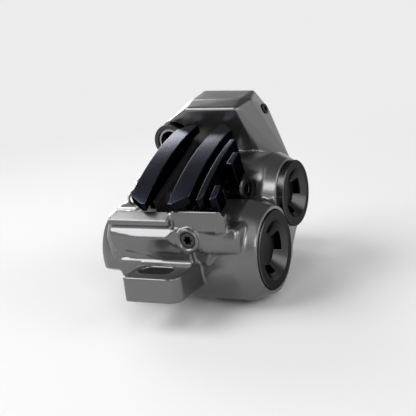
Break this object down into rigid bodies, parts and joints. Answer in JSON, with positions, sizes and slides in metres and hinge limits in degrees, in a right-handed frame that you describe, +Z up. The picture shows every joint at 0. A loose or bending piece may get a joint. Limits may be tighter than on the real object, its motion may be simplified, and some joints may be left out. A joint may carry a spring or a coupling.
{
  "type": "bicycle disc brake caliper",
  "caption": "Four-piston bicycle disc brake caliper with two slotted mounting ears, finned brake pads, two bore caps, a pad axle, a hose port and a bleed nipple",
  "frame": {"origin": "middle of the line between the two bolt slots, on the face that sits on the posts", "axes": "+X across the rotor towards the bore caps, +Y from the near ear to the far ear, +Z up along the mounting bolts; the rotor plane is X = 0"},
  "size_m": [0.0573, 0.0892, 0.0614],
  "materials": {
    "body_metal": "satin grey, fine grained",
    "black_metal": "glossy black anodised",
    "fin_anodised": "dark blue-black anodised",
    "seal_rubber": "matt",
    "piston": "smooth ceramic-filled resin",
    "plate_steel": "black coated steel",
    "friction": "coarse pressed compound",
    "bright_steel": "bright"
  },
  "bodies": {
    "caliper": {"caliper_body": "body_metal", "front_bore_cap": "black_metal", "rear_bore_cap": "black_metal", "front_cap_seal": "seal_rubber", "rear_cap_seal": "seal_rubber", "outboard_front_seal": "seal_rubber", "outboard_rear_seal": "seal_rubber", "inboard_front_seal": "seal_rubber", "inboard_rear_seal": "seal_rubber", "pad_spring": "bright_steel", "pad_axle": "black_metal", "axle_clip": "bright_steel", "hose_collar": "black_metal", "hose_seat": "bright_steel", "hose_o_ring": "seal_rubber", "passage_plug": "black_metal", "end_plug": "black_metal", "nipple_seat_ring": "bright_steel"},
    "outboard_pad": {"outboard_backplate": "plate_steel", "outboard_friction": "friction", "outboard_radiator": "fin_anodised"},
    "inboard_pad": {"inboard_backplate": "plate_steel", "inboard_friction": "friction", "inboard_radiator": "fin_anodised"},
    "outboard_front_piston_body": {"outboard_front_piston": "piston"},
    "outboard_rear_piston_body": {"outboard_rear_piston": "piston"},
    "inboard_front_piston_body": {"inboard_front_piston": "piston"},
    "inboard_rear_piston_body": {"inboard_rear_piston": "piston"},
    "nipple": {"bleed_nipple": "bright_steel"},
    "nipple_cap": {"bleed_cap": "seal_rubber"}
  },
  "joints": [
    {"name": "outboard_pad_slide", "type": "slide", "parent": "caliper", "child": "outboard_pad", "axis": [-1, 0, 0], "range_m": [0, 0.001], "stiffness_N_per_m": 300, "deforming": ["pad_spring"]},
    {"name": "inboard_pad_slide", "type": "slide", "parent": "caliper", "child": "inboard_pad", "axis": [1, 0, 0], "range_m": [0, 0.001]},
    {"name": "outboard_front_piston_slide", "type": "slide", "parent": "caliper", "child": "outboard_front_piston_body", "axis": [-1, 0, 0], "range_m": [0, 0.001]},
    {"name": "outboard_rear_piston_slide", "type": "slide", "parent": "caliper", "child": "outboard_rear_piston_body", "axis": [-1, 0, 0], "range_m": [0, 0.001]},
    {"name": "inboard_front_piston_slide", "type": "slide", "parent": "caliper", "child": "inboard_front_piston_body", "axis": [1, 0, 0], "range_m": [0, 0.001]},
    {"name": "inboard_rear_piston_slide", "type": "slide", "parent": "caliper", "child": "inboard_rear_piston_body", "axis": [1, 0, 0], "range_m": [0, 0.001]},
    {"name": "bleed_nipple_turn", "type": "hinge", "parent": "caliper", "child": "nipple", "pos_m": [0.011, 0.03, 0.0245], "axis": [0, 1, 0], "range_deg": [0, 180]},
    {"name": "bleed_cap_pull", "type": "slide", "parent": "caliper", "child": "nipple_cap", "axis": [0, 1, 0], "range_m": [0, 0.012]}
  ],
  "couplings": [
    {"joint": "inboard_pad_slide", "follows": "outboard_pad_slide", "ratio": 1},
    {"joint": "outboard_front_piston_slide", "follows": "outboard_pad_slide", "ratio": 1},
    {"joint": "outboard_rear_piston_slide", "follows": "outboard_pad_slide", "ratio": 1},
    {"joint": "inboard_front_piston_slide", "follows": "outboard_pad_slide", "ratio": 1},
    {"joint": "inboard_rear_piston_slide", "follows": "outboard_pad_slide", "ratio": 1}
  ]
}
